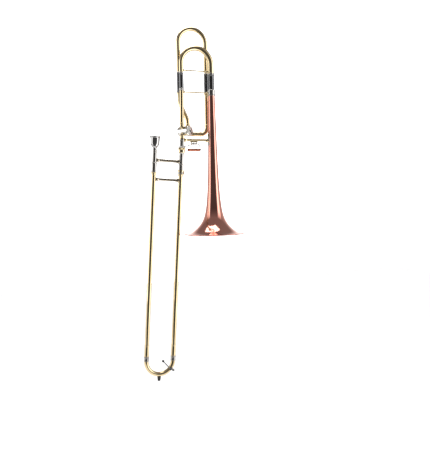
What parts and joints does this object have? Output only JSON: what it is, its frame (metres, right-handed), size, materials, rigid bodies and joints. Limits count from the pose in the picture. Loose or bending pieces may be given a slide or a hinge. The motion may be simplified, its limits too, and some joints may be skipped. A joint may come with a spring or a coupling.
{
  "type": "trombone",
  "caption": "Tenor trombone with a rotary F valve and thumb lever: bell, tuning slides, telescoping hand slide, water key and mouthpiece.",
  "frame": {"origin": "centre of the bell's rim plane", "axes": "+Z along the bell's axis, from the rim up to the tuning slide; -X towards the hand slide; +Y towards the F valve tubing behind the bell"},
  "size_m": [0.3773, 0.216, 1.2374],
  "materials": {
    "rose_brass": "polished and lacquered rose brass",
    "yellow_brass": "polished and lacquered yellow brass",
    "nickel_silver": "polished nickel silver",
    "silver_plate": "polished silver plate",
    "steel": "bright steel",
    "copper_red": "lacquered copper, ribbed",
    "black_rubber": "matt moulded rubber",
    "cork": "fine cork"
  },
  "bodies": {
    "bell_section": {"bell": "rose_brass", "bell_rim_wire": "rose_brass", "bell_ferrule": "nickel_silver", "large_slide_sleeve": "nickel_silver", "small_slide_sleeve": "nickel_silver", "main_tube": "yellow_brass", "small_sleeve_ring": "nickel_silver", "upper_brace": "yellow_brass", "lower_brace": "yellow_brass", "bell_flange": "nickel_silver", "neckpipe": "nickel_silver", "neckpipe_collar": "nickel_silver", "valve_casing": "nickel_silver", "valve_knuckles": "yellow_brass", "valve_front_cap": "nickel_silver", "valve_rear_plate": "nickel_silver", "valve_stop_corks": "cork", "f_out_tube": "yellow_brass", "f_elbow": "yellow_brass", "f_tube_rings": "yellow_brass", "f_riser_tube": "yellow_brass", "f_return_tube": "yellow_brass", "f_slide_sleeves": "nickel_silver", "f_stays": "yellow_brass", "lever_saddle": "yellow_brass", "lever_hinge_rod": "steel", "lever_spring": "steel"},
    "valve_rotor": {"valve_rotor": "nickel_silver", "stop_arm": "nickel_silver", "stop_arm_screw": "steel"},
    "valve_link": {"link_rod": "steel"},
    "thumb_lever": {"thumb_lever": "nickel_silver"},
    "thumb_roller": {"thumb_roller": "copper_red"},
    "tuning_slide": {"tuning_bow": "yellow_brass", "tuning_slide_legs": "nickel_silver", "tuning_bow_rings": "nickel_silver", "tuning_brace": "yellow_brass"},
    "f_tuning_slide": {"f_tuning_bow": "yellow_brass", "f_tuning_legs": "nickel_silver", "f_bow_rings": "nickel_silver"},
    "lock_nut": {"lock_nut": "yellow_brass"},
    "hand_slide": {"slide_receiver": "nickel_silver", "mouthpiece_receiver": "nickel_silver", "upper_inner_tube": "nickel_silver", "lower_inner_tube": "nickel_silver", "cork_barrels": "nickel_silver", "inner_grip_brace": "yellow_brass"},
    "slide_lock": {"slide_lock_ring": "yellow_brass"},
    "mouthpiece": {"mouthpiece": "silver_plate"},
    "outer_slide": {"outer_slide_tubes": "yellow_brass", "outer_slide_collars": "yellow_brass", "outer_grip_brace": "yellow_brass", "oversleeves": "yellow_brass", "crook_ferrules": "nickel_silver", "slide_crook": "yellow_brass", "rubber_bumper": "black_rubber", "water_key_seat": "nickel_silver", "water_key_spring": "steel"},
    "water_key": {"water_key": "nickel_silver", "water_key_cork": "cork"}
  },
  "joints": [
    {"name": "outer_slide", "type": "slide", "parent": "hand_slide", "child": "outer_slide", "axis": [-0.0703, 0, -0.9975], "range_m": [0, 0.6]},
    {"name": "slide_swivel", "type": "hinge", "parent": "bell_section", "child": "hand_slide", "pos_m": [-0.1132, 0, 0.3], "axis": [0.0703, 0, 0.9975], "range_deg": [-100, 100]},
    {"name": "lock_nut_turn", "type": "hinge", "parent": "bell_section", "child": "lock_nut", "pos_m": [-0.1132, 0, 0.3], "axis": [0.0703, 0, 0.9975], "continuous": true},
    {"name": "mouthpiece_pull", "type": "slide", "parent": "hand_slide", "child": "mouthpiece", "axis": [0.0703, 0, 0.9975], "range_m": [0, 0.045]},
    {"name": "slide_lock_turn", "type": "hinge", "parent": "hand_slide", "child": "slide_lock", "pos_m": [-0.1132, 0, 0.3], "axis": [0.0703, 0, 0.9975], "range_deg": [0, 40]},
    {"name": "tuning_slide_pull", "type": "slide", "parent": "bell_section", "child": "tuning_slide", "axis": [0, 0, 1], "range_m": [0, 0.04]},
    {"name": "f_tuning_slide_pull", "type": "slide", "parent": "bell_section", "child": "f_tuning_slide", "axis": [0, 0, 1], "range_m": [0, 0.055]},
    {"name": "thumb_lever_press", "type": "hinge", "parent": "bell_section", "child": "thumb_lever", "pos_m": [-0.06875, 0, 0.32], "axis": [1, 0, 0], "range_deg": [0, 29.25], "stiffness_Nm_per_rad": 0.5, "springref_deg": -20.05},
    {"name": "rotor_turn", "type": "hinge", "parent": "bell_section", "child": "valve_rotor", "pos_m": [-0.09741, 0.00906, 0.364], "axis": [0.5664, -0.8241, 0], "range_deg": [0, 90]},
    {"name": "link_swing", "type": "hinge", "parent": "valve_rotor", "child": "valve_link", "pos_m": [-0.10925, 0.03878, 0.35693], "axis": [0.5664, -0.8241, 0], "range_deg": [-90, 0]},
    {"name": "roller_spin", "type": "hinge", "parent": "thumb_lever", "child": "thumb_roller", "pos_m": [-0.07135, -0.006, 0.298], "axis": [1, 0, 0], "continuous": true},
    {"name": "water_key_press", "type": "hinge", "parent": "outer_slide", "child": "water_key", "pos_m": [-0.17569, -0.0125, -0.46474], "axis": [-0.6297, 0, -0.7768], "range_deg": [0, 20], "stiffness_Nm_per_rad": 0.05, "springref_deg": -28.65}
  ],
  "couplings": [
    {"joint": "rotor_turn", "follows": "thumb_lever_press", "ratio": 3.0769},
    {"joint": "link_swing", "follows": "thumb_lever_press", "ratio": -3.0769}
  ]
}
